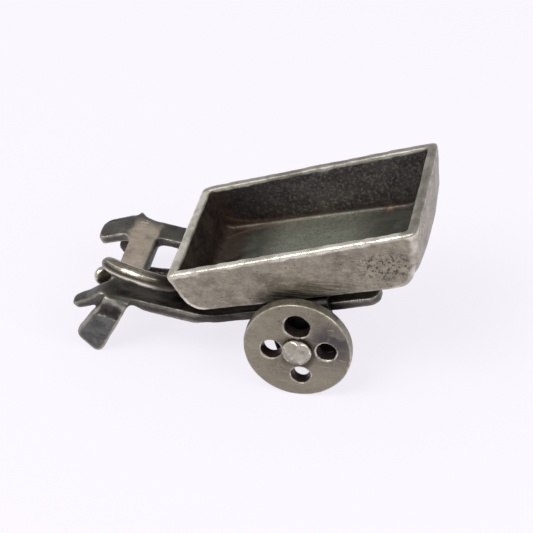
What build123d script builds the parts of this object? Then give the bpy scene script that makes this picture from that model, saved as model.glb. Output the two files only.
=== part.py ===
from build123d import *
import os
from math import asin, atan2, cos, hypot, radians, sin

# A bracelet charm in the form of a hand cart, in millimetres.
# The cart stands on its two wheels and two legs, nose up, on the ground at Z = 0.
# "Plate" sizes are measured along the chassis plate: x to the nose, n square to the plate, from its top face.

# Chassis sheet
sheet_thickness = 0.75
chassis_width = 9.7
shaft_width = 2.0
plate_nose_x = 5.5
plate_bend_x = -7.7
shaft_peak_x = -15.05
shaft_peak_rise = 3.35
handle_tip_x = -17.48
handle_tip_rise = 2.9
plate_bend_radius = 5.0
handle_bend_radius = 1.0
nose_corner_radius = 0.8
near_handle_width = 1.4
far_handle_width = 2.4
handle_far_corner_radius = 0.5
handle_near_corner_radius = 0.3
handle_fillet_radius = 0.8
window_corner_radius = 0.4

# Crossbar and legs, which share one stretch of the shafts
crossbar_width = 2.0
crossbar_back_gap = 0.35
leg_offset = 0.5
near_leg_lean = 43.0
far_leg_lean = 27.0
near_leg_length = 5.06
leg_flare = 0.5
far_leg_set_back = 0.6
heel_shortfall = 1.0
foot_radius = 0.55
heel_radius = 0.75
leg_fold_radius = 0.35
leg_fold_drop = 0.25

# Axle bracket, an inverted U of strip between the plate and the tray
bracket_thickness = 0.6
lug_width = 5.0
lug_forward = 0.4
lug_below_axle = 1.6
lug_corner_radius = 0.5
bracket_bend_radius = 0.7

# Wheels and axle
wheel_radius = 4.0
wheel_thickness = 0.9
wheel_side_gap = 0.45
wheel_edge_radius = 0.1
wheel_hole_radius = 0.84
wheel_hole_circle_radius = 2.05
wheel_hole_count = 4
wheel_hole_turn = -12.0
axle_x = -1.0
axle_drop = 2.48
axle_radius = 0.6
running_clearance = 0.05
seat_clearance = 0.02
head_radius = 1.12
head_height = 0.88
head_rim = 0.15
head_gap = 0.08

# Tray: a floor strip with upturned ends, and two side plates
tray_back_x = -9.0
tray_nose_x = 9.92
tray_back_rim = 4.66
tray_nose_rim = 5.83
tray_width = 11.53
tray_side_lean = 0.6
tray_end_thickness = 0.65
tray_floor_thickness = 0.5
tray_side_thickness = 0.55
tray_back_slant = 0.5
tray_nose_slant = 0.7
tray_back_radius = 2.0
tray_nose_radius = 3.1
tray_inner_back_radius = 0.6
tray_inner_nose_radius = 2.4

# Jump ring: the near strand lies over the crossbar, and the cut ends stand one above the other
ring_room = 2.65
ring_wire_radius = 0.54
ring_pitch = 1.225
ring_turn = 340.0
ring_start = 142.2
ring_forward = 1.57
ring_lift = 0.24
ring_inset = 0.61
ring_yaw = 5.05
ring_dip = 18.38
ring_lean = 56.44

# Derived sizes
half_chassis = chassis_width / 2
tray_bottom = bracket_thickness
rise_angle = atan2(shaft_peak_rise, plate_bend_x - shaft_peak_x)
rise_length = hypot(shaft_peak_rise, plate_bend_x - shaft_peak_x)
leg_face_y = half_chassis + leg_offset
lug_outside = half_chassis + bracket_thickness
wheel_inside = lug_outside + wheel_side_gap
wheel_outside = wheel_inside + wheel_thickness
cut_reach = 40.0
same_place = 0.01
nearly_along = 0.9


def on_rise(distance):
    """A point on top of the rising shaft in plate sizes, measured up the slope from the bend."""
    return (plate_bend_x - distance * cos(rise_angle), distance * sin(rise_angle))


# The stretch of shaft that carries the crossbar and the legs
bar_back = rise_length - crossbar_back_gap
bar_front = bar_back - crossbar_width
bar_middle = on_rise((bar_back + bar_front) / 2)
bar_back_top = on_rise(bar_back)
bar_front_top = on_rise(bar_front)


def along_leg(lean, start, down, across):
    """A point in plate sizes, so far down the lean of a leg and across it from a start point."""
    x = start[0] - down * sin(radians(lean)) + across * cos(radians(lean))
    n = start[1] - down * cos(radians(lean)) - across * sin(radians(lean))
    return (x, n)


def leg_points(lean, length, set_back):
    """The front of a leg's fold, and the centres of its foot and heel, the rounded corners at its end."""
    front_top = along_leg(lean, bar_front_top, leg_fold_drop, -set_back)
    foot = along_leg(lean, front_top, length, -foot_radius)
    heel = along_leg(lean, bar_back_top, length - heel_shortfall, heel_radius - leg_flare - set_back)
    return (front_top, foot, heel)


# The ground is the common tangent under the wheel and the near foot, which sets the pitch of the plate
foot_centre = leg_points(near_leg_lean, near_leg_length, 0)[1]
ground_run = axle_x - foot_centre[0]
ground_drop = -axle_drop - foot_centre[1]
pitch = asin((wheel_radius - foot_radius) / hypot(ground_run, ground_drop)) - atan2(ground_drop, ground_run)
pitch_cos = cos(pitch)
pitch_sin = sin(pitch)

# The plate's place puts the wheels on the ground and the middle of the whole length at X = 0
nose_tilt = atan2(tray_nose_slant, tray_nose_rim - tray_bottom)
nose_centre_x = tray_nose_x - tray_nose_slant - tray_nose_radius * (1 - sin(nose_tilt)) / cos(nose_tilt)
nose_centre_n = tray_bottom + tray_nose_radius
nose_reach = nose_centre_x * pitch_cos - nose_centre_n * pitch_sin + tray_nose_radius
handle_reach = handle_tip_x * pitch_cos - handle_tip_rise * pitch_sin
plate_origin = (
    -(nose_reach + handle_reach) / 2,
    0.0,
    wheel_radius - axle_x * pitch_sin + axle_drop * pitch_cos,
)

# The far leg leans less, sits further back and is cut to stand on the same ground
far_tilt = radians(far_leg_lean) - pitch
far_front_top = along_leg(far_leg_lean, bar_front_top, leg_fold_drop, -far_leg_set_back)
far_front_height = plate_origin[2] + far_front_top[0] * pitch_sin + far_front_top[1] * pitch_cos
far_leg_length = (far_front_height - foot_radius * (1 - sin(far_tilt))) / cos(far_tilt)

# Planes of the plate's three views
plate_along = (pitch_cos, 0, pitch_sin)
plate_normal = (-pitch_sin, 0, pitch_cos)
plan_plane = Plane(origin=plate_origin, x_dir=plate_along, z_dir=plate_normal)
side_plane = Plane(origin=plate_origin, x_dir=plate_along, z_dir=(0, -1, 0))
cross_plane = Plane(origin=plate_origin, x_dir=(0, 1, 0), z_dir=plate_along)


def side_plane_at(y):
    """The side view's plane moved to one Y, with plate sizes as its own x and y."""
    return side_plane.offset(-y)


def tray_corners(end_inset=0.0, floor_lift=0.0):
    """The side view of the tray, from the back rim down, along the floor and up to the nose rim."""
    back_foot = (tray_back_x + tray_back_slant + end_inset, tray_bottom + floor_lift)
    nose_foot = (tray_nose_x - tray_nose_slant - end_inset, tray_bottom + floor_lift)
    back_rim = (tray_back_x + end_inset, tray_back_rim)
    nose_rim = (tray_nose_x - end_inset, tray_nose_rim)
    return [back_rim, back_foot, nose_foot, nose_rim]


def tray_half_width(n, inset=0.0):
    """Half the tray's width at one height over the plate, less an inset."""
    wall_height = (tray_back_rim + tray_nose_rim) / 2 - tray_bottom
    lean_share = (n - tray_bottom) / wall_height - 1
    return tray_width / 2 + tray_side_lean * lean_share - inset


# Chassis: one pierced and bent sheet with both shafts, the crossbar and the legs
with BuildPart() as chassis:
    with BuildSketch(side_plane):
        with BuildLine():
            FilletPolyline(
                (plate_nose_x, 0),
                (plate_bend_x, 0),
                (shaft_peak_x, shaft_peak_rise),
                (handle_tip_x, handle_tip_rise),
                radius=[plate_bend_radius, handle_bend_radius],
            )
            offset(amount=sheet_thickness, side=Side.LEFT)
        make_face()
    extrude(amount=half_chassis, both=True)
    with BuildSketch(plan_plane) as plan:
        shaft_middle_y = half_chassis - shaft_width / 2
        with Locations(((plate_nose_x + bar_back_top[0]) / 2, 0)):
            with GridLocations(0, 2 * shaft_middle_y, 1, 2):
                Rectangle(plate_nose_x - bar_back_top[0], shaft_width)
        for side, width in ((-1, near_handle_width), (1, far_handle_width)):
            with Locations(((bar_back_top[0] + handle_tip_x) / 2, side * (half_chassis - width / 2))):
                Rectangle(bar_back_top[0] - handle_tip_x, width)
        nose_corners = plan.vertices().group_by(Axis.X)[-1]
        fillet(nose_corners, nose_corner_radius)
        far_corners = plan.vertices().group_by(Axis.X)[0].sort_by(Axis.Y)[1::2]
        fillet(far_corners, handle_far_corner_radius)
        near_corners = plan.vertices().group_by(Axis.X)[0].sort_by(Axis.Y)[0::2]
        fillet(near_corners, handle_near_corner_radius)
        with Locations((bar_middle[0], 0)):
            Rectangle(bar_front_top[0] - bar_back_top[0], 2 * shaft_middle_y)
        for bar_x, radius in ((bar_back_top[0], handle_fillet_radius), (bar_front_top[0], window_corner_radius)):
            bar_corners = plan.vertices().filter_by(lambda v: abs(v.X - bar_x) < same_place)
            fillet(bar_corners.filter_by(lambda v: abs(v.Y) < shaft_middle_y), radius)
    extrude(amount=cut_reach, both=True, mode=Mode.INTERSECT)
    near_leg = (-1, near_leg_lean, near_leg_length, 0)
    far_leg = (1, far_leg_lean, far_leg_length, far_leg_set_back)
    for side, lean, length, set_back in (near_leg, far_leg):
        front_top, foot, heel = leg_points(lean, length, set_back)
        with BuildSketch(side_plane_at(side * leg_face_y)):
            with BuildLine():
                Line(bar_back_top, front_top)
            with Locations(foot):
                Circle(foot_radius)
            with Locations(heel):
                Circle(heel_radius)
            make_hull()
        extrude(amount=side * sheet_thickness)
    leg_face_edges = chassis.edges().filter_by(lambda e: abs(abs(e.center().Y) - leg_face_y) < same_place)
    fold_edges = leg_face_edges.filter_by(lambda e: e.center().Z > wheel_radius)
    fillet(fold_edges.filter_by(lambda e: abs(e.tangent_at(0.5).X) > nearly_along), leg_fold_radius)
chassis.part.label = "chassis"

# Axle bracket: the web lies on the plate and the lugs hang down outside the rails
axle_plane = cross_plane.offset(axle_x)
with BuildPart() as axle_bracket:
    with BuildSketch(axle_plane.offset(lug_forward)):
        with BuildLine():
            lug_end = -axle_drop - lug_below_axle
            Polyline(
                (-lug_outside, lug_end),
                (-lug_outside, bracket_thickness),
                (lug_outside, bracket_thickness),
                (lug_outside, lug_end),
                (half_chassis, lug_end),
                (half_chassis, 0),
                (-half_chassis, 0),
                (-half_chassis, lug_end),
                close=True,
            )
        make_face()
    extrude(amount=lug_width / 2, both=True)
    web_top = axle_bracket.faces().sort_by(Axis(plate_origin, plate_normal))[-1]
    fillet(web_top.edges().filter_by(Axis(plate_origin, plate_along)), bracket_bend_radius)
    lug_corners = axle_bracket.edges().filter_by(Axis.Y).group_by(SortBy.LENGTH)[0]
    fillet(lug_corners.filter_by(lambda e: e.center().Z < wheel_radius), lug_corner_radius)
    with BuildSketch(side_plane):
        with Locations((axle_x, -axle_drop)):
            Circle(axle_radius + seat_clearance)
    extrude(amount=cut_reach, both=True, mode=Mode.SUBTRACT)
axle_bracket.part.label = "axle_bracket"

# Axle: a wire through both lugs, with its two ends peened to domes outside the wheels
head_start = wheel_outside + head_gap
with BuildPart() as axle:
    with BuildSketch(side_plane):
        with Locations((axle_x, -axle_drop)):
            Circle(axle_radius)
    extrude(amount=head_start, both=True)
    for side in (-1, 1):
        with BuildSketch(axle_plane):
            with BuildLine():
                head_inner = side * head_start
                head_shoulder = side * (head_start + head_rim)
                head_top = side * (head_start + head_height)
                Polyline(
                    (head_top, -axle_drop),
                    (head_inner, -axle_drop),
                    (head_inner, head_radius - axle_drop),
                    (head_shoulder, head_radius - axle_drop),
                )
                TangentArc(
                    (head_top, -axle_drop),
                    (head_shoulder, head_radius - axle_drop),
                    tangent=(0, 1),
                )
            make_face()
        revolve(axis=Axis(axle_plane.from_local_coords((0, -axle_drop, 0)), (0, 1, 0)))
axle.part.label = "axle"


def build_wheel(side):
    """One pierced disc wheel; side is -1 for the near wheel and 1 for the far one."""
    with BuildPart() as wheel:
        with BuildSketch(side_plane_at(side * wheel_inside)):
            with Locations((axle_x, -axle_drop)):
                Circle(wheel_radius)
                Circle(axle_radius + running_clearance, mode=Mode.SUBTRACT)
                with PolarLocations(wheel_hole_circle_radius, wheel_hole_count, wheel_hole_turn):
                    Circle(wheel_hole_radius, mode=Mode.SUBTRACT)
        extrude(amount=-side * wheel_thickness)
        rims = wheel.edges().filter_by(GeomType.CIRCLE).group_by(SortBy.RADIUS)[-1]
        fillet(rims, wheel_edge_radius)
    return wheel.part


wheel_near = build_wheel(-1)
wheel_near.label = "wheel_near"
wheel_far = build_wheel(1)
wheel_far.label = "wheel_far"

# Tray floor: one strip with both ends turned up, between the side plates
with BuildPart() as tray_floor:
    with BuildSketch(side_plane):
        with BuildLine():
            outline = FilletPolyline(tray_corners(), radius=[tray_back_radius, tray_nose_radius])
            Line(outline @ 1, outline @ 0)
        make_face()
        with BuildLine():
            hollow = FilletPolyline(
                tray_corners(tray_end_thickness, tray_floor_thickness),
                radius=[tray_inner_back_radius, tray_inner_nose_radius],
            )
            mouth_back = hollow @ 0 + Vector(0, tray_nose_rim)
            mouth_nose = hollow @ 1 + Vector(0, tray_nose_rim)
            Polyline(hollow @ 1, mouth_nose, mouth_back, hollow @ 0)
        make_face(mode=Mode.SUBTRACT)
    extrude(amount=tray_width, both=True)
    with BuildSketch(cross_plane):
        with BuildLine():
            floor_half = tray_half_width(tray_bottom, inset=tray_side_thickness)
            rim_half = tray_half_width(tray_nose_rim, inset=tray_side_thickness)
            Polyline(
                (-floor_half, tray_bottom),
                (floor_half, tray_bottom),
                (rim_half, tray_nose_rim),
                (-rim_half, tray_nose_rim),
                close=True,
            )
        make_face()
    extrude(amount=cut_reach, both=True, mode=Mode.INTERSECT)
tray_floor.part.label = "tray_floor"


def build_tray_side(side):
    """One flat side plate of the tray, leaning out to the rim."""
    with BuildPart() as plate:
        with BuildSketch(side_plane):
            with BuildLine():
                outline = FilletPolyline(tray_corners(), radius=[tray_back_radius, tray_nose_radius])
                Line(outline @ 1, outline @ 0)
            make_face()
        extrude(amount=tray_width, both=True)
        with BuildSketch(cross_plane):
            with BuildLine():
                Polyline(
                    (side * tray_half_width(tray_bottom), tray_bottom),
                    (side * tray_half_width(tray_nose_rim), tray_nose_rim),
                    (side * tray_half_width(tray_nose_rim, tray_side_thickness), tray_nose_rim),
                    (side * tray_half_width(tray_bottom, tray_side_thickness), tray_bottom),
                    close=True,
                )
            make_face()
        extrude(amount=cut_reach, both=True, mode=Mode.INTERSECT)
    return plate.part


tray_side_near = build_tray_side(-1)
tray_side_near.label = "tray_side_near"
tray_side_far = build_tray_side(1)
tray_side_far.label = "tray_side_far"

# Jump ring: one open turn of wire through the window, over and under the crossbar, set out in plate sizes
ring_radius = ring_room + sheet_thickness
ring_level = Vector(cos(radians(ring_yaw)), -sin(radians(ring_yaw)), 0)
ring_along = ring_level * cos(radians(ring_dip)) - Vector(0, 0, sin(radians(ring_dip)))
ring_near = Vector(-sin(radians(ring_yaw)), -cos(radians(ring_yaw)), 0)
ring_up = ring_near * sin(radians(ring_lean)) + ring_near.cross(ring_along) * cos(radians(ring_lean))
ring_normal = ring_along.cross(ring_up)
bar_top = Vector(bar_middle[0], ring_inset - half_chassis, bar_middle[1])
ring_strand = bar_top + Vector(ring_forward, 0, ring_lift + ring_wire_radius)
ring_centre = ring_strand - ring_up * ring_radius
ring_height = ring_pitch * ring_turn / 360
cut_angle = radians(ring_start)
cut_outward = ring_along * cos(cut_angle) + ring_up * sin(cut_angle)
cut_plane = Plane(origin=ring_centre - ring_normal * (ring_height / 2), x_dir=cut_outward, z_dir=ring_normal)
ring_turns = cut_plane * Helix(pitch=ring_pitch, height=ring_height, radius=ring_radius, lefthand=True)
ring_path = plan_plane * ring_turns
with BuildPart() as jump_ring:
    with BuildSketch(Plane(origin=ring_path @ 0, z_dir=ring_path % 0)):
        Circle(ring_wire_radius)
    sweep(path=ring_path, is_frenet=True)
jump_ring.part.label = "jump_ring"

os.makedirs("parts", exist_ok=True)
export_step(chassis.part, "parts/chassis.step")
export_step(axle_bracket.part, "parts/axle_bracket.step")
export_step(axle.part, "parts/axle.step")
export_step(wheel_near, "parts/wheel_near.step")
export_step(wheel_far, "parts/wheel_far.step")
export_step(tray_floor.part, "parts/tray_floor.step")
export_step(tray_side_near, "parts/tray_side_near.step")
export_step(tray_side_far, "parts/tray_side_far.step")
export_step(jump_ring.part, "parts/jump_ring.step")
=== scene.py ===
import math

import bmesh
import bpy
import numpy as np
from mathutils import Matrix, Vector, noise


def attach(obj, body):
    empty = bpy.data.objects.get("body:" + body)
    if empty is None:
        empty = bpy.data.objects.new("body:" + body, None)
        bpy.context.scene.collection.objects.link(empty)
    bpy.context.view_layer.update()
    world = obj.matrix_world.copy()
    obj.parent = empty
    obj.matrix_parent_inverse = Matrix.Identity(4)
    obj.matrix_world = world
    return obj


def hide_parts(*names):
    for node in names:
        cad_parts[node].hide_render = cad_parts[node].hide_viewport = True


# A worn silver charm in the form of a hand cart.
# Shapes are worked in millimetres from the CAD nodes, and set in metres at the end.

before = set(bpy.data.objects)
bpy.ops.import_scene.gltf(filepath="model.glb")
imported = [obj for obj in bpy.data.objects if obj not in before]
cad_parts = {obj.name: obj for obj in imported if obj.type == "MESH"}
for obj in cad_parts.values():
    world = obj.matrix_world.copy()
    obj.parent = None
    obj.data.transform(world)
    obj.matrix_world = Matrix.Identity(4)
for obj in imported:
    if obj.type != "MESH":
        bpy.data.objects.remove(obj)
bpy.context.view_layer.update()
scene = bpy.context.scene
scene.view_settings.view_transform = "Standard"

MILLIMETRE = 0.001

# Camera at the photograph's viewing angle
camera_place = (24.1472, -112.949, 97.799)
camera_turn = (51.46, 0.0, 11.68)
camera_lens = 133.2
camera_sensor = 36.0
camera_nearest = 1.0

# Floor and sky
floor_radius = 1500.0
floor_sides = 64
floor_roughness = 0.9
floor_glow = 0.85
sky_strength = 0.6

# Soft lights: name, place, size and power
light_aim = (0, 0, 7)
lights = (
    ("key", (-160, -170, 330), 220, 1.1),
    ("fill", (260, -120, 240), 220, 0.5),
)

# Pairs of places below are where a change starts and where it is complete.
# Fours are a window: where it starts, is open, starts to close and is shut.

# Chassis plate: x runs along it to the nose, n stands square to it from its top face
plate_pitch = math.radians(17.29)
plate_origin = (4.6692, 0.0, 6.665)
half_chassis = 4.85

# Tray in plate sizes
tray_bottom = 0.6
tray_back_x = -9.0
tray_back_rim = 4.66
tray_nose_x = 9.92
tray_nose_rim = 5.83
tray_width = 11.53
tray_side_thickness = 0.55
tray_end_thickness = 0.65
tray_floor_thickness = 0.5
tray_middle = (0.5, 0.0, 3.5)
nose_corner_radius = 1.0
nose_rim_corner_radius = 0.5
near_back_corner_radius = 0.15
far_back_corner_radius = 0.35
rim_edge_radius = 0.36
bottom_edge_radius = 0.55

# Outer faces of the tray's side, nose and back walls: place at the rim, lean from foot to rim, rim height
tray_walls = (
    (tray_width / 2, 0.6, (tray_back_rim + tray_nose_rim) / 2),
    (tray_nose_x, 0.7, tray_nose_rim),
    (tray_back_x, -0.5, tray_back_rim),
)

# How the tray's ends are bent; behind counts back from x = 0
back_rim_shift = 0.14
back_rim_skew = 0.2
back_skew_behind = (4.0, 9.0)
nose_foot_shift = -0.2
nose_rim_shift = 0.34
nose_shift_x = (5.0, 9.3)
nose_bow = 0.36
nose_bow_x = (7.5, 9.0)

# Far corners of the rim, rubbed round
far_rim_corners = ((-9.14, 5.76, 4.66), (10.06, 5.76, 5.83))
rubbed_corner_size = 0.7

# How far the far, near, back and nose walls thicken inwards towards the rim
wall_swells = (0.22, 0.1, 0.1, 0.15)
wall_swell_n = (1.0, 3.0)
wall_swell_reach = (-0.5, -0.05, 0.15, 0.8)

# The tray's inside, its floor, its upright corners and the seam round its floor, from its inner faces
inside_depth = (-0.3, -0.1)
inside_facing = (-0.4, 0.4)
floor_reach = (0.05, 0.35)
corner_reach = (0.05, 0.35)
seam_above_floor = (0.1, 0.4)
seam_before_back = (0.8, 3.6)
seam_fillet_reach = (0.1, 0.42)
seam_line_reach = (0.0, 0.13)
seam_line_wander = 0.06

# Lines of spread solder in the tray: height over the seam, lift at the back corner and the lift's reach
far_solder = (0.3, 1.1, 1.0)
floor_solder = (0.3, 1.3, 1.3)
back_solder = (0.25, 0.9, 1.0)
back_solder_height = 1.2
solder_line_width = 0.13
solder_line_depth = 0.15
solder_before_back = (3.0, 9.0)

# A blob of solder inside the tray
solder_blob = (5.2, 4.5, 1.2)
solder_blob_size = 0.3
solder_blob_height = 0.12

# Brown tarnish in the back of the tray, which reaches further at the wall's foot and along the far seam
brown_reach = 0.4
brown_wander = 0.4
brown_foot = 1.2
brown_foot_above_floor = (0.2, 1.8)
brown_foot_less_on_far = 0.5
brown_fade = (0.0, 1.2)
seam_brown = 0.6
seam_brown_wander = 0.3
seam_brown_above_floor = (0.3, 1.1)

# Other marks on the tray, in plate sizes
near_side_y = (4.9, 5.2)
pale_floor_x = (-5.0, -2.5, 1.5, 5.5)
far_wall_reach = (0.1, 0.4)
far_wall_shade = 0.7
shade_before_back = (1.0, 9.0)
rim_depth = (-0.3, -0.12)
# Darker colour on the far rim and the nose rim, where fewer edges are rubbed bright
dull_rim_x = (8.4, 9.0)
dull_rim_y = (4.6, 5.0)

# Oval patches on the tray, the chassis and the wheels: middle, two sizes and the share of them at the edge
pit_patch = ((7.1, 3.1), (2.6, 1.7), (0.5, 1.0))
# The streak patch lies on the near side above the wheel, where a dark reflection of the wheel is painted
# into file streaks
reflection_streak_patch = ((0.3, 1.4), (5.2, 1.4), (0.3, 1.0))
solder_patch = ((-14.1, 4.15), (0.5, 0.5), (0.3, 1.0))
wheel_patch = ((2.5, 1.0), (2.7, 2.7), (0.25, 1.0))

# Rising shafts, crossbar, legs and handles of the chassis, in plate sizes
bend_x = -7.7
rise_angle = math.radians(24.5)
sheet_thickness = 0.75
near_leg_lean = 43.0
far_leg_lean = 27.0
fold_x = -12.91
fold_n = 2.37
handle_start = 14.73
handle_end = 17.48
near_handle_width = 1.4
far_handle_width = 2.4

# Front and back corners at the top of the near leg, rubbed round: x, n and size
leg_corners = ((-13.1, 1.7, 0.5), (-15.0, 2.6, 0.35))
leg_corner_y = (4.0, 4.6)

# How the chassis is bent by hand; behind counts back from x = 0
far_handle_lift = 0.42
near_handle_reach = 0.3
near_handle_drop = 0.3
handle_tip_bulge = 0.15
handle_tip_behind = (15.6, 16.6)
leg_depth = (1.6, 3.0)
near_shaft_depth = 0.22
near_shaft_y = (2.4, 2.8)
near_shaft_behind = (7.6, 9.0, 12.6, 13.2)
far_leg_shift = 0.17
far_leg_y = (4.2, 4.5)
far_leg_down = (0.5, 0.9)
far_peak_x = -14.65
far_peak_y = (4.1, 4.9)
far_peak_reach = 0.4
far_peak_sizes = (0.22, 0.6)
far_peak_down = (0.3, 1.0)
groove_depth = 0.07
groove_down = 0.5
groove_width = 0.1
groove_y = (5.1, 5.25)

# Marks on the chassis, in plate sizes; behind counts back from x = 0
chassis_wander = 0.25
bar_behind = (12.7, 13.0, 14.6, 15.1)
bar_middle_y = 0.8
bar_reach = (2.6, 4.2)
bar_front_facing = (0.45, 0.8)
leg_y = (4.95, 5.15)
leg_down = (0.1, 0.4)
brown_fold_down = (0.9, 1.1, 2.1, 2.3)
brown_corner = 0.8
fold_line_down = 2.25
fold_line_width = 0.12
# Painted shade on the sheet under the ring and under the tray, lighter towards the nose and at the near
# edge, and on the far leg
ring_shade_y = (-3.4, -2.2)
ring_shade_behind = (4.0, 8.0, 13.4, 14.6)
tray_shade = 0.9
tray_shade_x = (-9.5, -7.0)
nose_light = 0.6
nose_light_x = (1.5, 4.0)
unshaded_near_edge = 0.6
unshaded_near_edge_y = (4.5, 4.75)
far_leg_shade = 0.95
solder_patch_wander = 1.5
solder_patch_lowest = 2.5

# Wheels
axle_place = (4.4515, 0.0, 4.0)
wheel_lean = 4.0
far_wheel_lean = 1.0
wheel_outside = 6.8
wheel_thickness = 0.9
wheel_edge_facing = (0.35, 0.7)
tread_radius = (3.7, 3.85)
# Round the hub: a brown stain and painted shade
hub_stain_radius = (1.05, 1.65)
hub_stain_wander = 0.3

# Holes of the wheels, which taper inwards and are uneven
hole_circle_radius = 2.05
hole_unevenness = 0.05
uneven_radius = (0.9, 1.3, 3.0, 3.7)
hole_taper = 0.16
hole_reach = (0.9, 1.5)
hole_lip = (0.84, 0.88, 0.9, 0.98)

# Each hole's angle, its shift in X and Z and how much wider it is than drilled
hole_changes = (
    (95.3, 0.12, 0.04, 0.12),
    (185.3, 0.12, 0.0, -0.06),
    (275.3, 0.12, -0.13, -0.12),
    (5.3, 0.1, 0.02, -0.08),
)

# Axle heads, and the flats that the hammer left on each: sideways lean, upright lean and depth
head_start_y = 6.88
shaft_end_from_head = (-0.4, -0.2)
head_facets = (
    (-0.35, 0.5, 0.17),
    (0.45, 0.35, 0.19),
    (0.7, -0.3, 0.2),
    (-0.1, -0.55, 0.17),
    (-0.75, -0.1, 0.19),
    (0.05, 0.05, 0.1),
)

# Jump ring; its ends are told by their angle from the cut, in radians, and behind counts back from X = 0
ring_centre = (-7.885, -1.366, 4.628)
ring_normal = (-0.0613, -0.5275, -0.8473)
ring_end_angle = (0.05, 0.25)
low_end_angle = (0.1, 1.0)
low_end_move = (-0.08, 0.0, 0.0)
low_end_swell = 0.16
ring_near_y = (-3.4, -1.6)
ring_sag = 0.25
ring_sag_x = (-9.5, -5.5)
ring_lift = 0.25
ring_lift_behind = (9.2, 11.2)
ring_swell = 0.1

# Streaks of rubbing and painted highlight, and painted shade, on the jump ring
streak_spread = 1.1
streak_tightness = 5.0
ring_soot = 0.9
cut_facing = (0.35, 0.7)
cut_face_x = (-0.35, 0.05)
underside_soot = 0.7
underside_facing = (-0.1, 0.5)
ring_tucked_x = (-7.6, -6.2)
ring_far_y = (-2.6, -1.4)

# Sizes of the small faces that the worn shapes are made of
tray_face = 0.1
chassis_face = 0.075
small_face = 0.055
same_place = 0.001

# Rounds of smoothing that rub edges round
tray_rounds = 9
seam_rounds = 5
rim_corner_rounds = 25
leg_corner_rounds = 90
handle_tip_rounds = 10
chassis_rounds = 10
bent_chassis_rounds = 2
bracket_rounds = 6
wheel_rounds = 12
axle_rounds = 7
shaft_rounds = 8
facet_rounds = 2
ring_rounds = 9
ring_end_rounds = 14

# Coarse and fine lumps of old metal, each a height and a size
tray_lumps = ((0.05, 2.6), (0.016, 0.6))
chassis_lumps = ((0.045, 1.6), (0.015, 0.45))
bracket_lumps = ((0.03, 1.4), (0.012, 0.4))
wheel_lumps = ((0.03, 1.5), (0.012, 0.4))
axle_lumps = ((0.02, 0.9), (0.008, 0.3))
ring_lumps = ((0.045, 0.9), (0.015, 0.35))

# How edges are found: rounds of smoothing, and how far a vertex stands out on a fully sharp edge
even_rounds = 2
bend_rounds = 14
spread_rounds = 5
full_bend = 0.03

# Sizes and shine of the metal's surface
brush_mark_width = 0.16
pit_spacing = 0.3
pit_depth = 0.03
silver_metallic = 0.82
rubbed_shine = 0.14

# Colours of the stage, here and below as seen on screen, 0 to 255
background = (247, 243, 251)
sky_colour = (255, 255, 255)

# Colours of the tray's outside and rim, dark to light where there are several
tray_tones = ((114, 107, 95), (136, 129, 115), (154, 147, 132))
pale_blotch = (168, 159, 143)
dark_blotch = (94, 87, 77)
# Dark file streaks, which above the wheel also paint its reflection
file_streak_and_reflection = (68, 65, 56)
tray_scratch = (176, 168, 154)
tray_pit = (64, 58, 51)
corrosion = (66, 61, 53)
tray_grime = (64, 57, 49)
rim_tones = ((128, 122, 110), (150, 144, 132), (170, 164, 151))
dull_rim = (108, 103, 95)
rubbed_rim = (226, 221, 208)

# Colours of the tray's inside
wall_tones = ((74, 67, 68), (94, 88, 87))
wall_speck = (142, 136, 131)
wall_pit = (52, 46, 45)
wall_shade = (42, 35, 35)
floor_tones = ((82, 82, 75), (148, 150, 136))
floor_smear = (126, 128, 117)
floor_speck = (94, 95, 86)
back_browns = ((50, 41, 37), (80, 66, 58))
spread_solder = (134, 106, 86)
# Darker colour in the tray's upright inside corners
corner_soot = (40, 32, 29)
seam_tones = ((52, 42, 36), (118, 107, 94))

# Colours of the chassis and the bracket
sheet_tones = ((62, 58, 55), (84, 81, 77), (102, 98, 93))
bar_tones = ((146, 134, 121), (176, 163, 148), (198, 186, 171))
leg_tones = ((74, 74, 72), (98, 98, 95))
fold_browns = ((40, 36, 34), (64, 59, 55))
fold_speckle = (158, 153, 141)
# Dark streaky tones of the painted shade on the chassis sheet
soot_tones = ((28, 24, 22), (78, 71, 66))
solder_crust = (206, 196, 178)
sheet_pit = (42, 39, 36)
sheet_grime = (46, 38, 33)
rubbed_leg = (150, 146, 134)
rubbed_sheet = (168, 163, 151)
# Near black painted shade over the whole bracket, which sits under the tray
bracket_soot = (20, 17, 17)

# Colours of the wheels
wheel_tones = ((112, 106, 93), (131, 124, 110), (146, 139, 125))
wheel_stain = (76, 73, 72)
# Brown stain and painted shade round the hub
hub_stain = (60, 52, 46)
wheel_scratch = (172, 165, 150)
wheel_pit = (62, 56, 49)
tread_tones = ((98, 93, 80), (130, 125, 110), (152, 147, 131))
hole_tarnish = (64, 54, 49)
chipped_lip = (204, 197, 182)
rubbed_wheel = (220, 214, 200)

# Colours of the axle and the ring
axle_tones = ((134, 128, 116), (168, 162, 150), (198, 192, 179))
axle_pit = (74, 67, 58)
axle_grime = (66, 58, 50)
rubbed_head = (242, 238, 228)
dull_shaft = (92, 87, 79)
ring_tones = ((86, 81, 71), (124, 118, 105), (158, 151, 137))
# Pale streaks of rubbing that also stand in for painted highlights
rubbed_streak_and_highlight = (228, 221, 206)
dark_streak = (60, 55, 48)
# Painted shade on the ring's underside, far strand, low end's cut face and the end under the tray
ring_shade_colour = (56, 49, 43)

plate_matrix = Matrix.Translation(plate_origin) @ Matrix.Rotation(-plate_pitch, 4, "Y")


def as_light(colour):
    """A screen colour as the linear one that shaders take; a node's colour stays as it is."""
    if isinstance(colour, bpy.types.NodeSocket):
        return colour
    seen = np.array(colour) / 255
    linear = np.where(seen < 0.04045, seen / 12.92, ((seen + 0.055) / 1.055) ** 2.4)
    return (*linear, 1.0)


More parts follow.
